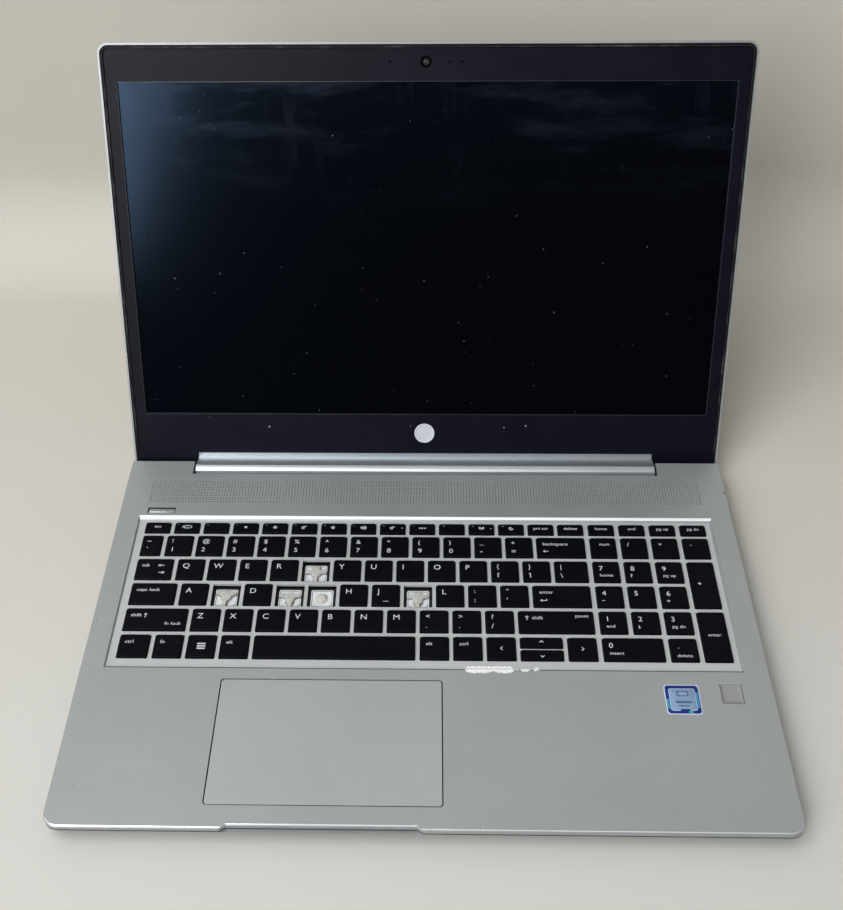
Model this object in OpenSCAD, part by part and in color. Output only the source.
// A 15.6 inch business notebook computer with its lid standing open and five keycaps lost.
// The base stands on its feet at z = 0. X runs to the right, Y to the rear, Z up.
// Base pieces are drawn with y = 0 at the front edge and z = 0 on the deck, then seated.
// Lid pieces are drawn upright on the hinge line: Y runs back from it and Z up the lid.

/* [Base] */
// Width of the computer
base_w = 364.9; // [356:0.1:440]
// Depth of the base, front edge to rear corners
base_d = 254.6; // [250:0.1:320]
// Height of the base without its feet
base_t = 12.9; // [12.9:0.1:16]
// Height of the rubber feet
foot_h = 1.4; // [1.2:0.1:4]
// Thickness of the deck plate
deck_t = 1.5; // [1.4:0.1:2]
// Thickness of the side and rear walls
wall = 1.5; // [1.2:0.1:1.8]
// Thickness of the bottom cover
floor_t = 1.2; // [1:0.1:1.5]
// Depth of the solid front edge
front_wall = 4; // [3:0.5:5]
// Height of the upright front face
lip_h = 3.8; // [3:0.1:4.5]
// Depth of the slope under the front edge
slope_run = 14; // [10:1:15]
// Height of the upright side faces
side_h = 10.8; // [10.6:0.1:11.5]
// Chamfer along the deck's edges
edge = 0.8; // [0.4:0.1:1.2]
// Radius of the front corners in plan
front_r = 8; // [5:0.5:12]
// Radius of the rear corners in plan
rear_r = 2.5; // [2:0.1:4]

/* [Lid] */
// Angle of the open lid from closed
lid_angle = 113.1; // [95:0.1:116]
// Thickness of the lid
lid_t = 5.7; // [5.5:0.1:8]
// Gap between the closed lid and the deck
lid_gap = 0.45; // [0.3:0.05:1]
// Radius of the lid's upper corners
lid_r = 6; // [3:0.5:10]
// Width of the visible screen
screen_w = 345.6; // [300:0.1:345.6]
// Height of the visible screen
screen_h = 193.7; // [160:0.1:193.7]
// Bezel height under the screen, from the hinge line
screen_low = 36.1; // [32:0.1:38]
// Thickness of the display panel
panel_t = 3; // [2.4:0.1:3]
// Diameter of the badge disc
badge_d = 12.5; // [8:0.1:18]
// Width of the webcam ring
lens_d = 5.8; // [4:0.1:7]

/* [Hinge] */
// Depth of the hinge line under the deck
hinge_drop = 6.1; // [6:0.1:6.4]
// Distance of the hinge line from the rear corners
hinge_back = 3.8; // [3.8:0.1:4.2]
// Length of the hinge cover
cover_w = 283.4; // [240:0.1:300]
// Gap at each end of the hinge cover
cover_gap = 1.5; // [1:0.1:3]
// Reach of the hinge cover's round front from the hinge line
cover_r = 7.6; // [7:0.1:7.7]
// Diameter of the hinge pins
pin_d = 3.5; // [2.5:0.1:3.6]

/* [Keyboard] */
// Pitch of the letter keys
key_pitch = 18; // [15:0.01:18.2]
// Pitch of the rows
row_pitch = 18.45; // [15.3:0.01:18.6]
// Gap between two key openings
key_gap = 1.95; // [1.8:0.01:2.4]
// Clearance around a keycap in its opening
cap_gap = 0.36; // [0.3:0.01:0.5]
// Height of a keycap
cap_h = 2.6; // [2.4:0.1:2.6]
// Travel of a keycap
key_travel = 1.5; // [1.2:0.1:1.5]
// Depth of the keyboard recess under the deck
recess_t = 1.3; // [1:0.1:1.4]

/* [Palm rest] */
// Width of the touchpad
pad_w = 115.8; // [90:0.1:130]
// Depth of the touchpad
pad_d = 74.2; // [60:0.1:76]
// Clearance around the touchpad
pad_gap = 0.5; // [0.4:0.1:0.6]
// Width of the fingerprint reader
reader_w = 11.3; // [8:0.1:14]
// Depth of the fingerprint reader
reader_d = 12.4; // [8:0.1:13]
// Width of the palm rest label
label_w = 18.2; // [12:0.1:20]
// Depth of the palm rest label
label_d = 18.5; // [12:0.1:19]

/* [Ports] */
// Bore of the audio jack
jack_d = 3.5; // [2.5:0.1:3.8]
// Bore of the power inlet
inlet_d = 4.8; // [4:0.1:5.5]
// Clearance around a port in the wall
port_gap = 0.15; // [0.1:0.05:0.3]

/* [Hidden] */
$fn = 48;
tiny = 0.01;
half_w = base_w / 2;
deck_z = base_t + foot_h;
floor_z = floor_t - base_t;
seam_z = 0.3 - side_h;
rib = 1.2;

// Hinge line, and the lid's front and back planes behind it
hinge_y = base_d - hinge_back;
hinge_z = -hinge_drop;
lid_front = hinge_drop + lid_gap;
lid_back = lid_front + lid_t;
lid_top = hinge_y - 0.3;
lid_low = -hinge_back;
lid_wall = 1.1;
lid_skin = 1.2;
back_r = 2.5;

// The plan's middle, half way between the front edge and the open lid's top edge
mid_y = (hinge_y + lid_back * sin(lid_angle) - lid_top * cos(lid_angle)) / 2;

// Notch for the hinge cover
notch_half = cover_w / 2 + cover_gap;
notch_y = hinge_y - cover_r - 0.5;

// Bezel levels behind the hinge line, and its edges
bezel_y = lid_front + 0.2;
flange_y = bezel_y + 0.6;
panel_y = bezel_y + 1.2;
rim_in = half_w - lid_wall;
flange_half = rim_in - 0.15;
gasket_out = rim_in - 0.9;
gasket_w = 0.9;
bezel_half = gasket_out - gasket_w - 0.6;
bezel_low = 11.6;
bezel_top = lid_top - (half_w - bezel_half);
screen_top = screen_low + screen_h;
panel_half = screen_w / 2 + 2.5;
panel_low = screen_low - 5.6;
panel_top = screen_top + 5.6;
camera_z = (panel_top + bezel_top) / 2 - 1;
badge_z = bezel_low + 12.1;
arm_x = [cover_w / 2 - 33.7, cover_w / 2 - 3.7];
leg_x = [cover_w / 2 - 11.7, cover_w / 2 - 3.7];
leg_half = 2.4;
pin_end = notch_half + 14;
barrel_r = 2.8;
bracket_x = [notch_half + 2.2, notch_half + 13.8];
bracket_z = [hinge_z - barrel_r, hinge_z - 1.1];

// Keyboard grid: rows are counted from the space bar's
main_x = -9.17 * key_pitch;
key_w = key_pitch - key_gap;
key_d = row_pitch - 2.4;
main_end = main_x + 14.38 * key_pitch;
board_y = base_d - 153.6;
function row_y(r) = board_y + r * row_pitch;
fn_w = key_w - 0.65;
fn_d = 8.75;
fn_y = row_y(4) + key_d + 1.9;
fn_pitch = round(100 * (main_end - main_x - fn_w) / 14) / 100;
pad_x = main_end + 2.6;
pad_pitch = key_pitch - 0.13;
function pad_col(c) = pad_x + c * pad_pitch;
keys_right = pad_col(3) + fn_w;
keys_rear = fn_y + fn_d;
key_r = 0.8;
recess_half = keys_right + 4.61;
recess_y = [board_y - 6.8, keys_rear + 5.2];
recess_floor_x = [0.6 - recess_half, recess_half - 1.6];
recess_floor_y = [recess_y[0] + 0.8, recess_y[1] - 2.9];
web_t = 1.5;
web_z = -recess_t - web_t;
web_gap = 0.05;
flange = 0.9;
cap_top = -0.1;
cap_wall = 0.9;
cap_roof = 0.9;
sheet_z = cap_top - cap_h - key_travel - 0.4;
sheet_t = 0.3;
plate_z = sheet_z - sheet_t;
plate_t = 0.5;
scissor_t = 1.7;
scissor_w = 12.5;
dome_h = 1.5;
dome_gap = 0.2;
rail_d = 2;

// A row of keys: each key is [left, front, width, depth]
function run(x, r, n) = [for (i = [0:n - 1]) [x + i * key_pitch, row_y(r), key_w, key_d]];
function lead(r, shift) = [main_x, row_y(r), shift - key_gap - 0.15, key_d];
function last(r, x) = [x, row_y(r), main_end - x, key_d];
function letters(r, shift, n) = concat(
    [lead(r, shift)], run(main_x + shift, r, n), [last(r, main_x + shift + n * key_pitch)]);
function_row = concat(
    [for (i = [0:14]) [main_x + i * fn_pitch, fn_y, fn_w, fn_d]],
    [for (c = [0:3]) [pad_col(c), fn_y, fn_w, fn_d]]);
number_row = letters(4, 0.8 * key_pitch, 12);
top_row = letters(3, 1.305 * key_pitch, 12);
home_row = letters(2, 1.56 * key_pitch, 11);
lower_row = letters(1, 2.06 * key_pitch, 10);
shift_0 = 1.25;
left_keys = concat([[main_x, row_y(0), key_w + 1.05, key_d]], run(main_x + key_pitch + shift_0, 0, 3));
space_key = [[main_x + 4 * key_pitch + shift_0, row_y(0), 5 * key_pitch - key_gap - 0.2, key_d]];
arrow_x = main_x + 12 * key_pitch + shift_0;
arrow_w = main_end - key_w - key_gap - 0.2 - arrow_x;
half_d = (key_d - 0.9) / 2;
right_keys = concat(
    run(main_x + 9 * key_pitch + shift_0, 0, 3),
    [[arrow_x, row_y(0), arrow_w, half_d], [arrow_x, row_y(0) + key_d - half_d, arrow_w, half_d]],
    [[main_end - key_w, row_y(0), key_w, key_d]]);
tall_d = row_pitch + key_d;
number_pad = concat(
    [for (c = [0:3]) [pad_col(c), row_y(4), fn_w, key_d]],
    [for (r = [1:3], c = [0:2]) [pad_col(c), row_y(r), fn_w, key_d]],
    [for (r = [0, 2]) [pad_col(3), row_y(r), fn_w, tall_d]],
    [[pad_col(0), row_y(0), pad_pitch + fn_w, key_d], [pad_col(2), row_y(0), fn_w, key_d]]);
lost_top = [5];
lost_home = [2, 4, 5, 8];
bare_home = [5];
all_keys = concat(function_row, number_row, top_row, home_row, lower_row,
    left_keys, space_key, right_keys, number_pad);
scissor_keys = concat(function_row, number_row, top_row,
    [for (i = [0:len(home_row) - 1]) if (len(search(i, bare_home)) == 0) home_row[i]],
    lower_row, left_keys, space_key, right_keys, number_pad);

// Palm rest: the touchpad hinges along its rear edge
pad_mid = -47.9;
pad_rear = recess_y[0] - 7.1;
pad_top = -0.25;
pad_t = 1.6;
tray_z = [-4.2, -2.6];
tray_rim = 3.2;
reader_x = half_w - 22.2;
reader_y = recess_y[0] - 13.7;
label_x = half_w - 48.1;
label_y = recess_y[0] - 17.7;
label_t = 0.1;
scoop_x = [pad_mid - 46, pad_mid + 46];
scoop_d = 1.8;

// Power button and speaker grille, behind the keyboard
button_x = [main_x + 0.1, main_x + 15.75];
button_y = [recess_y[1] + 2.85, recess_y[1] + 5.65];
button_t = 1.6;
button_floor = -3.2;
slot_x = [button_x[0] - 0.7, button_x[1] + 0.35];
slot_y = [button_y[0] - 0.65, button_y[1] + 0.9];
grille_half = 166.25;
grille_y = [notch_y - 25.1, notch_y - 6.1];
grille_t = 0.4;

// Inside the base
board_z = [-7.6, -6.6];
fan_x = -half_w + 54.5;
fan_half = 28.5;
fan_mid = hinge_y - 65.8;
fan_z = [floor_z, plate_z - plate_t - 0.6];
fan_skin = 0.5;
rotor_r = 24;
rotor_z = [fan_z[0] + fan_skin + 0.5, fan_z[1] - fan_skin - 0.3];
axle_r = 1.5;
fins_x = [-half_w + 6.4, fan_x - fan_half - 0.6];
fins_y = [fan_mid - 25, hinge_y - 24.8];
fin_count = 20;
pipe_z = [floor_z + 0.3, floor_z + 2.5];
chip_x = [-50, -22];
chip_y = [hinge_y - 44.8, hinge_y - 22.8];
battery_x = [-150, 50];
battery_y = [18, pad_rear + 4.9];
battery_top = tray_z[0] - 1.7;
drive_x = [62, half_w - 20.5];
drive_y = [20, 90];
drive_h = 7;
speaker_x = [78, 138];
speaker_y = [notch_y - 25.7, notch_y - 4.7];
port_back = half_w - 13.4;
port_front = half_w - 0.4;
port_z = [-9.9, -4.7];
port_mid = (port_z[0] + port_z[1]) / 2;
usb_y = [hinge_y - 127.8, hinge_y - 107.8];
video_y = hinge_y - 87.8;
net_y = hinge_y - 65.8;
net_z = [-10.1, -3.3];
usb_c_y = hinge_y - 47.3;
inlet_y = hinge_y - 28.8;
left_usb_y = hinge_y - 110.8;
jack_y = hinge_y - 128.8;
card_y = hinge_y - 150.3;
vent_y = [fan_mid - 22, fan_mid + 24];
vent_count = 11;
lock_y = hinge_y - 15.8;
// Screws through the bottom cover: [x, y, height of the post's top]
screw_posts = [
    [-half_w + 14.5, 26, -deck_t], [half_w - 14.5, 26, -deck_t], [56, 26, -deck_t],
    [-142, board_y + 7, plate_z - plate_t], [-80, board_y + 29, board_z[0]],
    [150, board_y + 19, board_z[0]], [60, board_y + 99, board_z[0]],
    [-70, notch_y - 10.7, -deck_t], [70, notch_y - 10.7, -deck_t]];
post_r = 4;
screw_r = 1.1;
head_r = 2.7;
head_h = 1;

// ---- helpers ----

// Seats a base piece: the deck's z = 0 goes to its height above the desk
module in_base() {
    translate([0, -mid_y, deck_z]) children();
}

// Seats a lid piece: the upright lid turns about the hinge line to its open angle
module in_lid() {
    in_base() translate([0, hinge_y, hinge_z]) rotate([90 - lid_angle, 0, 0]) children();
}

// A block between two corners
module slab(x, y, z) {
    translate([x[0], y[0], z[0]]) cube([x[1] - x[0], y[1] - y[0], z[1] - z[0]]);
}

// A rectangle with round corners, between x and y limits
module round_rect(x, y, r) {
    translate([x[0] + r, y[0]]) square([x[1] - x[0] - 2 * r, y[1] - y[0]]);
    translate([x[0], y[0] + r]) square([x[1] - x[0], y[1] - y[0] - 2 * r]);
    for (cx = [x[0] + r, x[1] - r], cy = [y[0] + r, y[1] - r]) {
        translate([cx, cy]) circle(r);
    }
}

// A block with round upright corners
module round_slab(x, y, z, r) {
    translate([0, 0, z[0]]) linear_extrude(z[1] - z[0]) round_rect(x, y, r);
}

// Extrudes a profile drawn as (y, z) along X
module along_x(x) {
    translate([x[0], 0, 0]) rotate([90, 0, 90]) linear_extrude(x[1] - x[0]) children();
}

// Extrudes a profile drawn as (x, z) along Y
module along_y(y) {
    translate([0, y[1], 0]) rotate([90, 0, 0]) linear_extrude(y[1] - y[0]) children();
}

// Both sides of the computer's middle plane
module both_sides() {
    children();
    mirror([1, 0, 0]) children();
}

// ---- base form ----

// The base in plan, inset by i, with its notch for the hinge cover
module base_plan(i) {
    difference() {
        union() {
            translate([i - half_w, front_r]) square([base_w - 2 * i, base_d - front_r - rear_r]);
            translate([front_r - half_w, i]) square([base_w - 2 * front_r, front_r]);
            translate([rear_r - half_w, base_d - 2 * rear_r])
                square([base_w - 2 * rear_r, 2 * rear_r - i]);
            for (s = [-1, 1]) {
                translate([s * (half_w - front_r), front_r]) circle(front_r - i);
                translate([s * (half_w - rear_r), base_d - rear_r]) circle(rear_r - i);
            }
        }
        translate([-notch_half - i, notch_y - i]) square([2 * (notch_half + i), base_d]);
    }
}

// The base seen from its side: chamfered edge, upright lip, slope, and tucked-up rear
module side_profile() {
    polygon([
        [edge, 0], [0, -edge], [0, -lip_h], [slope_run, -base_t], [base_d - 11.1, -base_t],
        [base_d - 7.6, 0.6 - base_t], [base_d - 3.6, 0.9 - base_t], [base_d, -8],
        [base_d, -edge], [base_d - edge, 0]]);
}

// The same for the space inside: the slope moves in by the cover's thickness
module side_space() {
    slope = (base_t - lip_h) / slope_run;
    lift = floor_t * sqrt(1 + slope * slope);
    front_z = lift - lip_h - slope * front_wall;
    polygon([
        [front_wall, -deck_t], [front_wall, front_z],
        [front_wall + (front_z - floor_z) / slope, floor_z], [base_d - 11.5, floor_z],
        [base_d - 5, floor_z + 0.9], [base_d - wall, -7.6], [base_d - wall, -deck_t]]);
}

// The base seen from the front: chamfered deck edges, upright sides, chamfered bottom
module front_profile() {
    low = half_w - (base_t - side_h);
    polygon([
        [edge - half_w, 0], [-half_w, -edge], [-half_w, -side_h], [-low, -base_t],
        [low, -base_t], [half_w, -side_h], [half_w, -edge], [half_w - edge, 0]]);
}

// The space inside seen from the front
module front_space() {
    side = half_w - wall;
    low = side - (base_t - side_h) + 0.4;
    polygon([
        [-side, -deck_t], [-side, 0.4 - side_h], [-low, floor_z], [low, floor_z],
        [side, 0.4 - side_h], [side, -deck_t]]);
}

// The closed outer form of the whole base
module base_form() {
    intersection() {
        translate([0, 0, -base_t]) linear_extrude(base_t) base_plan(0);
        along_x([-half_w, half_w]) side_profile();
        along_y([0, base_d]) front_profile();
    }
}

// The space that both shells enclose
module base_space() {
    intersection() {
        translate([0, 0, floor_z]) linear_extrude(-floor_z - deck_t) base_plan(wall);
        along_x([-half_w, half_w]) side_space();
        along_y([0, base_d]) front_space();
    }
}

// Everything above the seam between the two shells, as a profile
module above_seam() {
    polygon([
        [-1, 1], [-1, -lip_h], [front_wall + 0.5, -lip_h], [slope_run + 2, seam_z],
        [base_d + 1, seam_z], [base_d + 1, 1]]);
}

// The chamfer around a front corner, which the two profiles leave out
module corner_chamfer() {
    translate([half_w - front_r, front_r, 0]) rotate([0, 0, -90]) rotate_extrude(angle = 90)
        polygon([
            [front_r - edge, 0], [front_r + 1, -edge - 1], [front_r + 1, 1], [front_r - edge, 1]]);
}

// The finger recess in the front edge, with its own chamfer
module finger_recess() {
    linear_extrude(2 * (lip_h + 1), center = true) polygon([
        [scoop_x[0] - 3, -1], [scoop_x[0] - 3, 0], [scoop_x[0], scoop_d],
        [scoop_x[1], scoop_d], [scoop_x[1] + 3, 0], [scoop_x[1] + 3, -1]]);
    along_x(scoop_x) polygon([
        [0, 1], [scoop_d + edge + 1, 1], [scoop_d + edge, 0], [scoop_d, -edge], [0, -edge]]);
}

// The keyboard recess: a steep front and a long bright slope at the rear, open below
module keyboard_recess() {
    low = -deck_t - 1;
    intersection() {
        along_x([-recess_half, recess_half]) polygon([
            [recess_y[0], 1], [recess_y[0], 0], [recess_floor_y[0], -recess_t],
            [recess_floor_y[0], low], [recess_floor_y[1], low],
            [recess_floor_y[1], -recess_t], [recess_y[1], 0], [recess_y[1], 1]]);
        along_y(recess_y) polygon([
            [-recess_half, 1], [-recess_half, 0], [recess_floor_x[0], -recess_t],
            [recess_floor_x[0], low], [recess_floor_x[1], low],
            [recess_floor_x[1], -recess_t], [recess_half, 0], [recess_half, 1]]);
    }
}

// An opening in the right-hand wall, mirrored for the left by the caller
module side_window(y, w, z) {
    slab([half_w - 2 * wall, half_w + 1], [y - w / 2 - port_gap, y + w / 2 + port_gap],
        [z[0] - port_gap, z[1] + port_gap]);
}

module top_case() {
    color("#a9adab") in_base() difference() {
        union() {
            difference() {
                intersection() {
                    base_form();
                    along_x([-half_w - 1, half_w + 1]) above_seam();
                }
                base_space();
                both_sides() corner_chamfer();
            }
            // Pocket under the power button
            slab([slot_x[0] - rib, slot_x[1] + rib], [slot_y[0] - rib, slot_y[1] + rib],
                [button_floor - rib, -deck_t + tiny]);
            // Bosses that the hinge brackets are screwed to
            both_sides() for (y = [hinge_y - 30, hinge_y - 14]) {
                translate([(bracket_x[0] + bracket_x[1]) / 2, y, bracket_z[1]])
                    cylinder(r = 3, h = -deck_t - bracket_z[1] + tiny);
            }
        }
        keyboard_recess();
        finger_recess();
        round_slab([pad_mid - pad_w / 2 - pad_gap, pad_mid + pad_w / 2 + pad_gap],
            [pad_rear - pad_d - pad_gap, pad_rear + pad_gap], [-deck_t - 1, 1], 2);
        slab([reader_x - reader_w / 2 - 0.1, reader_x + reader_w / 2 + 0.1],
            [reader_y - reader_d / 2 - 0.1, reader_y + reader_d / 2 + 0.1], [-deck_t - 1, 1]);
        palm_label_form(1);
        slab(slot_x, slot_y, [button_floor, 1]);
        slab([-grille_half, grille_half], grille_y, [-grille_t, 1]);
        // Hinge pins pass through the notch's end walls, and the barrels sit in the corners
        both_sides() translate([notch_half - 1, hinge_y, hinge_z]) rotate([0, 90, 0]) {
            cylinder(d = pin_d + 0.6, h = pin_end - notch_half);
            translate([0, 0, 1 + wall]) cylinder(r = barrel_r + 0.2, h = pin_end - notch_half);
        }
        for (y = usb_y) side_window(y, 13.1, port_z);
        side_window(video_y, 15.1, port_z);
        side_window(net_y, 14.6, net_z);
        side_window(usb_c_y, 9.2, [port_mid - 1.7, port_mid + 1.7]);
        side_window(inlet_y, 8, [port_mid - 3.2, port_mid + 3.2]);
        mirror([1, 0, 0]) {
            side_window(left_usb_y, 13.1, port_z);
            side_window(jack_y, 6, port_z);
            side_window(card_y, 25, [port_z[0], port_z[0] + 2.8]);
            side_window(lock_y, 7, [-8, -5]);
            for (i = [0:vent_count - 1]) {
                pitch = (vent_y[1] - vent_y[0]) / vent_count;
                side_window(vent_y[0] + (i + 0.5) * pitch, pitch - 1.5, [-9.4, -5.4]);
            }
        }
    }
}

module bottom_cover() {
    color("#8f9392") in_base() difference() {
        union() {
            difference() {
                base_form();
                base_space();
                along_x([-half_w - 1, half_w + 1]) above_seam();
            }
            for (p = screw_posts) {
                translate([p[0], p[1], floor_z - tiny])
                    cylinder(r = post_r, h = p[2] - floor_z + tiny);
            }
        }
        for (p = screw_posts) {
            translate([p[0], p[1], -base_t - 1]) cylinder(r = screw_r + 0.15, h = base_t);
            translate([p[0], p[1], -base_t - 1]) cylinder(r = head_r + 0.2, h = head_h + 1.1);
        }
        // Intake slots under the fan, and a second field beside the memory
        for (i = [-4:4]) {
            slab([fan_x - 17, fan_x + 17], [fan_mid + 4 * i - 0.9, fan_mid + 4 * i + 0.9],
                [-base_t - 1, floor_z + 1]);
            slab([10, 90], [board_y + 40 + 4 * i - 0.9, board_y + 40 + 4 * i + 0.9],
                [-base_t - 1, floor_z + 1]);
        }
        both_sides() translate([notch_half - 1, hinge_y, hinge_z]) rotate([0, 90, 0])
            translate([0, 0, 1 + wall]) cylinder(r = barrel_r + 0.2, h = pin_end - notch_half);
    }
}

module rear_foot() {
    color("#2a2b2d") in_base() round_slab([-150, 150], [base_d - 30, base_d - 21],
        [-deck_z, -base_t], 3);
}

module front_feet() {
    color("#2a2b2d") in_base() both_sides()
        round_slab([105, 150], [slope_run + 7, slope_run + 15], [-deck_z, -base_t], 3);
}

module cover_screws() {
    color("#7c7f82") in_base() for (p = screw_posts) {
        translate([p[0], p[1], 0.1 - base_t]) {
            cylinder(r = head_r, h = head_h);
            cylinder(r = screw_r, h = base_t + board_z[0] - 0.9);
        }
    }
}

// ---- keyboard ----

// The frame between the keys: its flange lies under the deck, and its floor fills the recess
module keyboard_frame() {
    color("#b2b6b5") in_base() difference() {
        union() {
            slab([-recess_half - flange, recess_half + flange],
                [recess_y[0] - flange, recess_y[1] + flange], [web_z, -deck_t]);
            slab([recess_floor_x[0] + web_gap, recess_floor_x[1] - web_gap],
                [recess_floor_y[0] + web_gap, recess_floor_y[1] - web_gap], [web_z, -recess_t]);
            // Rails that the keyboard's plate hangs from
            for (y = [recess_y[0] - flange, recess_y[1] + flange - rail_d]) {
                slab([1 - recess_half, recess_half - 1], [y, y + rail_d], [plate_z, web_z + tiny]);
            }
        }
        translate([0, 0, web_z - 1]) linear_extrude(web_t + 2) for (k = all_keys) {
            round_rect([k[0], k[0] + k[2]], [k[1], k[1] + k[3]], key_r);
        }
    }
}

module keyboard_backplate() {
    color("#6f7376") in_base() slab([1 - recess_half, recess_half - 1],
        [recess_y[0] - flange, recess_y[1] + flange], [plate_z - plate_t, plate_z]);
}

// The size of a key's lifting frame and dome: short keys take a flatter pair
function is_short(k) = k[3] < key_d - 1;
function frame_w(k) = min(scissor_w, k[2] - 2.9);
function frame_d(k) = min(scissor_w, k[3] - 3.2);
function frame_hole(k) = min(is_short(k) ? 2.1 : 3.1, frame_d(k) / 2 - 0.08, frame_w(k) / 4 - 0.02);
function dome_r(k) = min(is_short(k) ? 1.9 : 2.8, frame_hole(k) - dome_gap);

module dome_sheet() {
    color("#e9eaea") in_base() {
        slab([3 - recess_half, recess_half - 3],
            [recess_y[0] + rail_d, recess_y[1] - rail_d], [plate_z, sheet_z]);
        for (k = all_keys) {
            translate([k[0] + k[2] / 2, k[1] + k[3] / 2, sheet_z - tiny])
                cylinder(r = dome_r(k), h = dome_h, $fn = 24);
        }
    }
}

// One lifting frame: a cross with a round middle for the dome
module key_scissor(w, d, hole_r) {
    linear_extrude(scissor_t) difference() {
        union() {
            square([w, d / 3], center = true);
            square([w / 2, d], center = true);
        }
        circle(hole_r, $fn = 24);
    }
}

module key_scissors() {
    color("#cfd3d4") in_base() for (k = scissor_keys) {
        count = k[2] > 3 * key_pitch ? 3 : 1;
        for (i = [1:count]) {
            if (count == 1 || i != 2) {
                translate([k[0] + k[2] * (i - 0.5) / count, k[1] + k[3] / 2, sheet_z])
                    key_scissor(frame_w(k), frame_d(k), count > 1 ? 1.5 : frame_hole(k));
            }
        }
    }
}

// One hollow keycap in its opening
module keycap(k) {
    x = [k[0] + cap_gap, k[0] + k[2] - cap_gap];
    y = [k[1] + cap_gap, k[1] + k[3] - cap_gap];
    difference() {
        round_slab(x, y, [cap_top - cap_h, cap_top], key_r);
        slab([x[0] + cap_wall, x[1] - cap_wall], [y[0] + cap_wall, y[1] - cap_wall],
            [cap_top - cap_h - 1, cap_top - cap_roof]);
    }
}

// A row of keycaps without the ones that are lost
module keycaps(keys, lost = []) {
    color("#17181c") in_base() for (i = [0:len(keys) - 1]) {
        if (len(search(i, lost)) == 0) keycap(keys[i]);
    }
}

module function_keys() { keycaps(function_row); }
module number_row_keys() { keycaps(number_row); }
module top_row_keys() { keycaps(top_row, lost_top); }
module home_row_keys() { keycaps(home_row, concat(lost_home, [len(home_row) - 1])); }
module enter_key() { keycaps([home_row[len(home_row) - 1]]); }
module lower_row_keys() { keycaps(lower_row); }
module left_control_keys() { keycaps(left_keys); }
module space_bar() { keycaps(space_key); }
module right_control_keys() { keycaps(right_keys); }
module number_pad_keys() { keycaps(number_pad); }

// ---- palm rest and power button ----

module touchpad() {
    color("#9ea3a2") in_base() round_slab([pad_mid - pad_w / 2, pad_mid + pad_w / 2],
        [pad_rear - pad_d, pad_rear], [pad_top - pad_t, pad_top], 1.5);
}

module touchpad_bracket() {
    x = [pad_mid - pad_w / 2 - pad_gap, pad_mid + pad_w / 2 + pad_gap];
    y = [pad_rear - pad_d - pad_gap, pad_rear + pad_gap];
    color("#85898b") in_base() {
        difference() {
            slab([x[0] - tray_rim, x[1] + tray_rim], [y[0] - tray_rim, y[1] + tray_rim],
                [tray_z[0], -deck_t]);
            slab([x[0] - 0.3, x[1] + 0.3], [y[0] - 0.3, y[1] + 0.3], [tray_z[1], 0]);
        }
        // Leaf that the pad flexes on, along its rear edge
        slab([x[0] + 20, x[1] - 20], [pad_rear - 3, pad_rear], [tray_z[1] - tiny, pad_top - pad_t - 0.3]);
    }
}

module fingerprint_reader() {
    x = [reader_x - reader_w / 2, reader_x + reader_w / 2];
    y = [reader_y - reader_d / 2, reader_y + reader_d / 2];
    color("#b4b8b8") in_base() {
        slab(x, y, [-deck_t - tiny, -0.15]);
        slab([x[0] - 1.5, x[1] + 1.5], [y[0] - 1.5, y[1] + 1.5], [-deck_t - 1.2, -deck_t]);
    }
}

// The label's outline from its seat in the deck up to a height
module palm_label_form(top) {
    round_slab([label_x - label_w / 2, label_x + label_w / 2],
        [label_y - label_d / 2, label_y + label_d / 2], [-label_t, top], 1);
}

module palm_label() {
    color("#4f6d9c") in_base() palm_label_form(0);
}

module power_button() {
    cut = 1.6;
    color("#9ea3a2") in_base() translate([0, 0, pad_top - button_t]) linear_extrude(button_t)
        polygon([
            [button_x[0], button_y[0]], [button_x[1], button_y[0]], [button_x[1], button_y[1] - cut],
            [button_x[1] - cut, button_y[1]], [button_x[0], button_y[1]]]);
}

// ---- inside the base ----

module system_board() {
    x = [-90, port_back - 0.2];
    y = [board_y + 9, hinge_y - 38.8];
    tab = 66;
    color("#1f5a3c") in_base() translate([0, 0, board_z[0]]) linear_extrude(board_z[1] - board_z[0])
        polygon([
            [x[0], y[0]], [x[1], y[0]], [x[1], y[1]], [tab, y[1]], [tab, notch_y - 12.7],
            [-tab, notch_y - 12.7], [-tab, y[1]], [x[0], y[1]]]);
}

module board_chips() {
    color("#2b2d33") in_base() {
        slab(chip_x, chip_y, [pipe_z[1], board_z[0]]);
        slab([0, 18], [hinge_y - 60, hinge_y - 42], [board_z[0] - 1.2, board_z[0]]);
        for (x = [-20:24:100]) {
            slab([x, x + 10], [board_y + 14, board_y + 24], [board_z[1], board_z[1] + 0.7]);
        }
    }
}

module heat_pipe() {
    color("#b8693c") in_base() {
        slab([fins_x[0], chip_x[1]], [hinge_y - 34.8, hinge_y - 25.8], pipe_z);
        slab([chip_x[0] - 2, chip_x[1] + 2], [chip_y[0] - 1, chip_y[1] + 1], pipe_z);
    }
}

module heatsink_fins() {
    pitch = (fins_y[1] - fins_y[0] - 0.8) / (fin_count - 1);
    color("#9a9ea2") in_base() difference() {
        union() {
            for (z = [fan_z[0], fan_z[1] - fan_skin]) slab(fins_x, fins_y, [z, z + fan_skin]);
            for (i = [0:fin_count - 1]) {
                y = fins_y[0] + i * pitch;
                slab(fins_x, [y, y + 0.8], fan_z);
            }
        }
        slab([fins_x[0] - 1, fins_x[1] + 1], [hinge_y - 35, fins_y[1] + 1],
            [fan_z[0] - 1, pipe_z[1] + 0.1]);
    }
}

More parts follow.
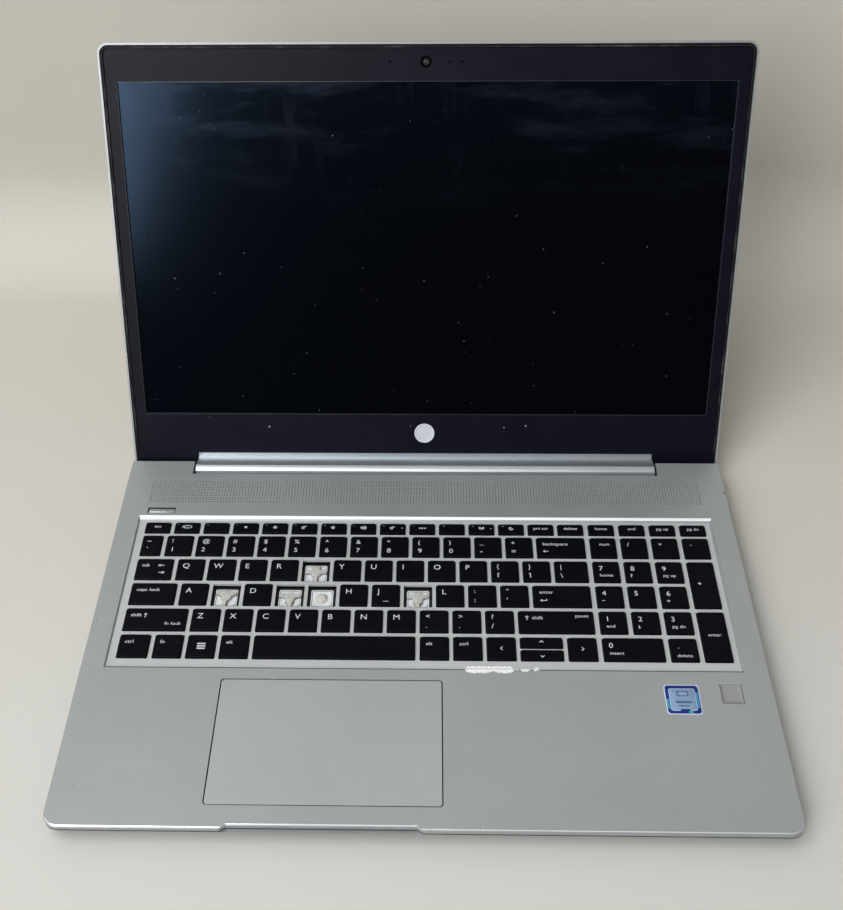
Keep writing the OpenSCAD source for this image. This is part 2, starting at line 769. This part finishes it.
module fan_housing() {
    x = [fan_x - fan_half, fan_x + fan_half];
    y = [fan_mid - fan_half, fan_mid + fan_half];
    color("#35383c") in_base() {
        difference() {
            round_slab(x, y, fan_z, 6);
            difference() {
                translate([0, 0, fan_z[0] + fan_skin]) union() {
                    translate([fan_x, fan_mid, 0])
                        cylinder(r = rotor_r + 1.5, h = fan_z[1] - fan_z[0] - 2 * fan_skin);
                    translate([x[0] - 1, fan_mid - 24, 0])
                        cube([fan_half, 46, fan_z[1] - fan_z[0] - 2 * fan_skin]);
                }
            }
            translate([fan_x, fan_mid, fan_z[0] - 1]) cylinder(r = 18, h = 2);
        }
        // Axle, fixed in the housing's upper plate
        translate([fan_x, fan_mid, rotor_z[0] - 0.2])
            cylinder(r = axle_r, h = fan_z[1] - fan_skin - rotor_z[0] + 0.3);
    }
}

module fan_rotor() {
    blades = 17;
    h = rotor_z[1] - rotor_z[0];
    color("#24262a") in_base() translate([fan_x, fan_mid, rotor_z[0]]) difference() {
        union() {
            cylinder(r = 10, h = h);
            for (i = [0:blades - 1]) {
                rotate([0, 0, i * 360 / blades]) translate([9, -0.4, 0.3])
                    cube([rotor_r - 9, 0.8, h - 0.6]);
            }
        }
        translate([0, 0, -1]) cylinder(r = axle_r + 0.1, h = h + 2);
    }
}

module battery_pack() {
    color("#1c1d20") in_base() round_slab(battery_x, battery_y, [floor_z, battery_top], 2);
}

module memory_module() {
    color("#1f6a4a") in_base() {
        slab([15, 85], [board_y + 37, board_y + 67], [-10.4, -8.9]);
        slab([14, 86], [board_y + 66, board_y + 73], [-10.9, board_z[0]]);
    }
}

module storage_drive() {
    color("#6d7176") in_base() slab(drive_x, drive_y, [floor_z, floor_z + drive_h]);
}

module wireless_card() {
    color("#2a6a86") in_base() slab([-60, -38], [board_y + 34, board_y + 64],
        [board_z[0] - 1.2, board_z[0]]);
}

module coin_cell() {
    color("#c9cdd0") in_base() translate([120, board_y + 84, board_z[0] - 3.2])
        cylinder(r = 10, h = 3.2);
}

// One loudspeaker box under the grille
module speaker() {
    difference() {
        slab(speaker_x, speaker_y, [-8.4, -deck_t]);
        slab([speaker_x[0] + 8, speaker_x[1] - 8], [speaker_y[0] + 4, speaker_y[1] - 4],
            [-deck_t - 0.8, 0]);
    }
}

module speaker_left() { color("#26272a") in_base() mirror([1, 0, 0]) speaker(); }
module speaker_right() { color("#26272a") in_base() speaker(); }

// ---- ports, drawn for the right-hand side ----

// A socket shell: an open box with a contact tongue, w across and between heights z
module socket(y, w, z, skin, tongue) {
    mid = (z[0] + z[1]) / 2;
    difference() {
        slab([port_back, port_front], [y - w / 2, y + w / 2], z);
        slab([port_back + 2, port_front + 1], [y - w / 2 + skin, y + w / 2 - skin],
            [z[0] + skin, z[1] - skin]);
    }
    if (tongue > 0) {
        slab([port_back + 1, port_front - 2], [y - w / 2 + 1.2, y + w / 2 - 1.2],
            [mid, mid + tongue]);
    }
}

module usb_a_ports() {
    color("#b9bdc2") in_base() {
        for (y = usb_y) socket(y, 13.1, port_z, 0.35, 1.8);
        mirror([1, 0, 0]) socket(left_usb_y, 13.1, port_z, 0.35, 1.8);
    }
}

module usb_c_port() {
    color("#b9bdc2") in_base() socket(usb_c_y, 9.2, [port_mid - 1.7, port_mid + 1.7], 0.4, 0.7);
}

module video_port() {
    color("#b9bdc2") in_base() socket(video_y, 15.1, port_z, 0.45, 1.2);
}

module network_port() {
    color("#202124") in_base() socket(net_y, 14.6, net_z, 0.9, 0);
}

module power_inlet() {
    color("#202124") in_base() {
        difference() {
            slab([port_back, port_front], [inlet_y - 4, inlet_y + 4],
                [port_mid - 3.2, port_mid + 3.2]);
            translate([port_back + 2, inlet_y, port_mid]) rotate([0, 90, 0])
                cylinder(d = inlet_d, h = half_w);
        }
        translate([port_back + 1, inlet_y, port_mid]) rotate([0, 90, 0])
            cylinder(r = 0.4, h = port_front - port_back - 3);
    }
}

module audio_jack() {
    color("#202124") in_base() mirror([1, 0, 0]) difference() {
        slab([port_back, port_front], [jack_y - 3, jack_y + 3], port_z);
        translate([port_back + 1, jack_y, port_mid]) rotate([0, 90, 0])
            cylinder(d = jack_d, h = half_w);
    }
}

module card_reader() {
    color("#8f9498") in_base() mirror([1, 0, 0])
        socket(card_y, 25, [port_z[0], port_z[0] + 2.8], 0.3, 0);
}

module left_port_board() {
    color("#1f5a3c") in_base() slab([-half_w + wall + 1.4, -half_w + 32],
        [card_y - 14, left_usb_y + 9], [port_z[0] - 1, port_z[0]]);
}

// ---- hinges ----

// The fixed half of a hinge: a barrel on the hinge line and a foot under its two bosses
module hinge_bracket() {
    difference() {
        union() {
            translate([bracket_x[0], hinge_y, hinge_z]) rotate([0, 90, 0])
                cylinder(r = barrel_r, h = bracket_x[1] - bracket_x[0]);
            slab(bracket_x, [hinge_y - 36, hinge_y], bracket_z);
        }
        translate([bracket_x[0] - 1, hinge_y, hinge_z]) rotate([0, 90, 0])
            cylinder(d = pin_d + 0.2, h = bracket_x[1] - bracket_x[0] + 2);
    }
}

module hinge_bracket_left() { color("#74787c") in_base() mirror([1, 0, 0]) hinge_bracket(); }
module hinge_bracket_right() { color("#74787c") in_base() hinge_bracket(); }

// The moving half: a plate on the lid's back, a leg to the hinge line, and the pin
module hinge_arm() {
    slab(arm_x, [lid_back - lid_skin - 1.2, lid_back - lid_skin], [-leg_half, 26]);
    slab(leg_x, [-leg_half, lid_back - lid_skin], [-leg_half, leg_half]);
    translate([leg_x[0], 0, 0]) rotate([0, 90, 0]) cylinder(d = pin_d, h = pin_end - leg_x[0]);
}

module hinge_arm_left() { color("#74787c") in_lid() mirror([1, 0, 0]) hinge_arm(); }
module hinge_arm_right() { color("#74787c") in_lid() hinge_arm(); }

// The cover's section: a flat top, a round front and a flat bottom, inset by i
module cover_section(i) {
    intersection() {
        polygon([
            [lid_front - i, 7.9 - i], [-6.8 + i, 5.9 - i], [-6.8 + i, -6.1 + i],
            [-4.5, -6.1 + i], [lid_front - i, -5 + i]]);
        union() {
            circle(cover_r - i);
            translate([-1, -cover_r - 1]) square([cover_r + 2, 2 * cover_r + 2]);
        }
    }
}

module hinge_cover() {
    color("#a3a7a6") in_lid() difference() {
        union() {
            along_x([-cover_w / 2, cover_w / 2]) cover_section(0);
            // Lip up to the bezel's lower edge
            slab([-cover_w / 2, cover_w / 2], [lid_front - tiny, flange_y], [5, bezel_low - 1.2]);
        }
        along_x([1.3 - cover_w / 2, cover_w / 2 - 1.3]) cover_section(1.2);
        both_sides() {
            slab([leg_x[0] - 0.5, leg_x[1] + 0.5], [lid_front - 2, lid_front + 1], [-3, 3]);
            translate([cover_w / 2 - 3, 0, 0]) rotate([0, 90, 0]) cylinder(d = pin_d + 0.4, h = 4);
        }
    }
}

// ---- lid ----

// The lid's outline, inset by i, drawn as (x, z)
module lid_outline(i) {
    low_r = 3;
    x = half_w - i;
    translate([-x, lid_low + low_r]) square([2 * x, lid_top - lid_low - low_r - lid_r]);
    translate([lid_r - half_w, lid_top - 2 * lid_r]) square([base_w - 2 * lid_r, 2 * lid_r - i]);
    translate([low_r - half_w, lid_low + i]) square([base_w - 2 * low_r, 2 * low_r]);
    for (s = [-1, 1]) {
        translate([s * (half_w - lid_r), lid_top - lid_r]) circle(lid_r - i);
        translate([s * (half_w - low_r), lid_low + low_r]) circle(low_r - i);
    }
}

// A bar from low to high with two round rear edges, drawn as (across, y)
module rounded_back(low, high) {
    translate([low, lid_front]) square([high - low, lid_t - back_r]);
    translate([low + back_r, lid_front]) square([high - low - 2 * back_r, lid_t]);
    for (a = [low + back_r, high - back_r]) translate([a, lid_back - back_r]) circle(back_r);
}

module display_back() {
    color("#a9adab") in_lid() difference() {
        intersection() {
            along_y([lid_front, lid_back]) lid_outline(0);
            translate([0, 0, lid_low]) linear_extrude(lid_top - lid_low)
                rounded_back(-half_w, half_w);
            along_x([-half_w, half_w]) mirror([1, -1]) rounded_back(lid_low, lid_top);
        }
        along_y([lid_front - 1, lid_back - lid_skin]) lid_outline(lid_wall);
        // Beside the hinge cover the rim steps back, to swing past the base's rear corners
        both_sides() slab([notch_half - 1, half_w + 1], [lid_front - 1, flange_y],
            [lid_low - 1, 4]);
        // The cover's arms leave the lid through its lower wall
        both_sides() slab([leg_x[0] - 0.5, leg_x[1] + 0.5], [lid_front - 1, lid_front + 4],
            [lid_low - 1, 3]);
    }
}

module display_bezel() {
    color("#24262b") in_lid() difference() {
        union() {
            along_y([flange_y, panel_y]) lid_outline(lid_wall + 0.15);
            along_y([bezel_y, panel_y])
                round_rect([-bezel_half, bezel_half], [bezel_low, bezel_top], lid_r - 3.5);
        }
        slab([-screen_w / 2, screen_w / 2], [bezel_y - 1, panel_y + 1], [screen_low, screen_top]);
        both_sides() slab([leg_x[0] - 0.6, leg_x[1] + 0.6], [bezel_y - 1, panel_y + 1],
            [lid_low, 3.1]);
        translate([0, bezel_y - 1, camera_z]) rotate([-90, 0, 0]) cylinder(d = lens_d + 0.2, h = 4);
        translate([0, bezel_y - 1, badge_z]) rotate([-90, 0, 0]) cylinder(d = badge_d + 0.2, h = 1.5);
        for (x = [-20, 13, 20]) {
            translate([x, bezel_y - 1, camera_z]) rotate([-90, 0, 0]) cylinder(d = 1, h = 4);
        }
    }
}

module bezel_gasket() {
    r = lid_r - lid_wall - 0.9;
    low = bezel_low - 1;
    top = lid_top - lid_wall - 0.9;
    color("#3a3c40") in_lid() along_y([lid_front - 0.2, flange_y]) difference() {
        round_rect([-gasket_out, gasket_out], [low, top], r);
        round_rect([gasket_w - gasket_out, gasket_out - gasket_w], [low - 9, top - gasket_w],
            r - gasket_w);
    }
}

module lcd_panel() {
    color("#0c0d11") in_lid() slab([-panel_half, panel_half], [panel_y, panel_y + panel_t],
        [panel_low, panel_top]);
}

module camera_module() {
    color("#1f4d3a") in_lid() slab([-32, 32], [panel_y, panel_y + 2.4], [camera_z - 3.9, camera_z + 3.9]);
}

module camera_lens() {
    color("#101114") in_lid() translate([0, bezel_y + 0.1, camera_z]) rotate([-90, 0, 0])
        cylinder(d = lens_d, h = panel_y - bezel_y - 0.1);
}

module badge_disc() {
    color("#c5c8c9") in_lid() translate([0, bezel_y - 0.15, badge_z]) rotate([-90, 0, 0])
        cylinder(d = badge_d, h = 0.65);
}

module display_cable() {
    color("#2c2d30") in_lid() slab([-100, -60], [panel_y + 0.2, panel_y + 0.6], [-2, panel_low - 0.1]);
}

module antenna_strips() {
    color("#b87a45") in_lid() both_sides() slab([60, 120], [panel_y, panel_y + 0.8],
        [panel_top + 4, lid_top - lid_wall - 0.6]);
}

top_case();
bottom_cover();
rear_foot();
front_feet();
cover_screws();
keyboard_frame();
keyboard_backplate();
dome_sheet();
key_scissors();
touchpad_bracket();
fingerprint_reader();
palm_label();
system_board();
board_chips();
heat_pipe();
heatsink_fins();
fan_housing();
fan_rotor();
battery_pack();
memory_module();
storage_drive();
wireless_card();
coin_cell();
speaker_left();
speaker_right();
usb_a_ports();
usb_c_port();
network_port();
video_port();
power_inlet();
audio_jack();
card_reader();
left_port_board();
hinge_bracket_left();
hinge_bracket_right();
display_back();
display_bezel();
bezel_gasket();
lcd_panel();
hinge_cover();
hinge_arm_left();
hinge_arm_right();
camera_module();
camera_lens();
badge_disc();
display_cable();
antenna_strips();
touchpad();
power_button();
function_keys();
number_row_keys();
top_row_keys();
home_row_keys();
lower_row_keys();
left_control_keys();
space_bar();
right_control_keys();
number_pad_keys();
enter_key();
